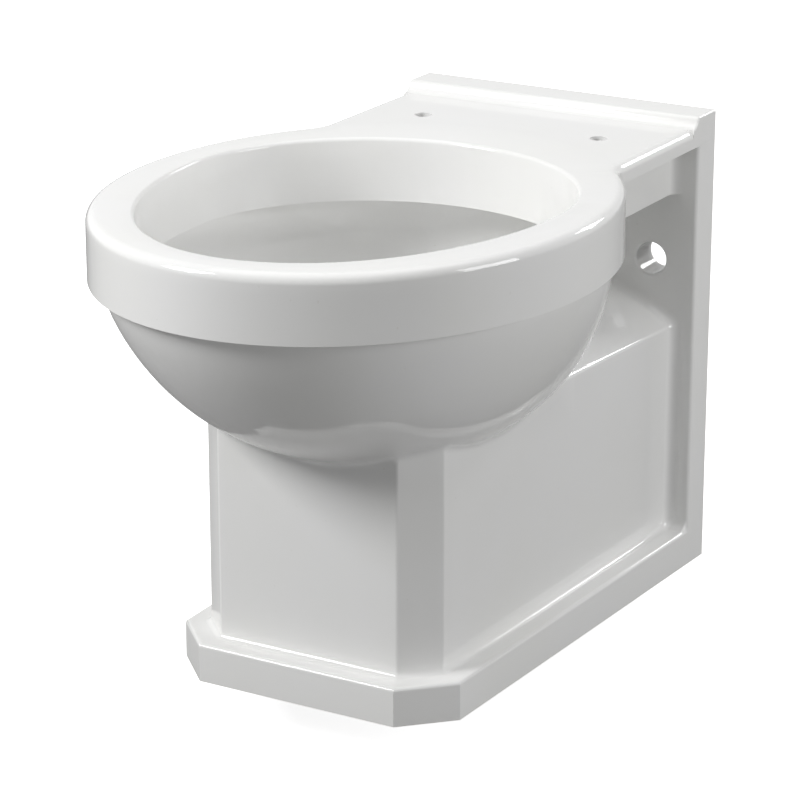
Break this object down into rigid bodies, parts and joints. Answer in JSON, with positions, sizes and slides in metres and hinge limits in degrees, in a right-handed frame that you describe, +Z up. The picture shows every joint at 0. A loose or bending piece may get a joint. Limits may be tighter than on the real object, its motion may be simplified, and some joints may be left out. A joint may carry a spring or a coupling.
{
  "type": "wall_hung_toilet",
  "caption": "Wall hung toilet pan in white glazed ceramic with a round box rim, stepped pedestal with chamfered corners and a full height wall plate",
  "frame": {"origin": "on the wall plane, midway between the two fixing holes", "axes": "X to the right seen from the front, Y into the wall, Z up; the pan comes out of the wall along -Y"},
  "size_m": [0.37, 0.55, 0.3745],
  "materials": {
    "glazed_ceramic": "gloss",
    "seal_rubber": "matte"
  },
  "bodies": {
    "root": {"plinth": "glazed_ceramic", "pedestal_shell": "glazed_ceramic", "trap_roof": "glazed_ceramic", "bowl": "glazed_ceramic", "bowl_sump": "glazed_ceramic", "trapway": "glazed_ceramic", "outlet_spigot": "glazed_ceramic", "rim_ring": "glazed_ceramic", "rinse_ledge": "glazed_ceramic", "seat_deck": "glazed_ceramic", "rear_upstand": "glazed_ceramic", "back_plate": "glazed_ceramic", "flush_duct": "glazed_ceramic", "flush_elbow": "glazed_ceramic", "flush_divider": "glazed_ceramic", "seat_boss_left": "glazed_ceramic", "seat_boss_right": "glazed_ceramic", "inlet_seal": "seal_rubber"}
  },
  "joints": []
}
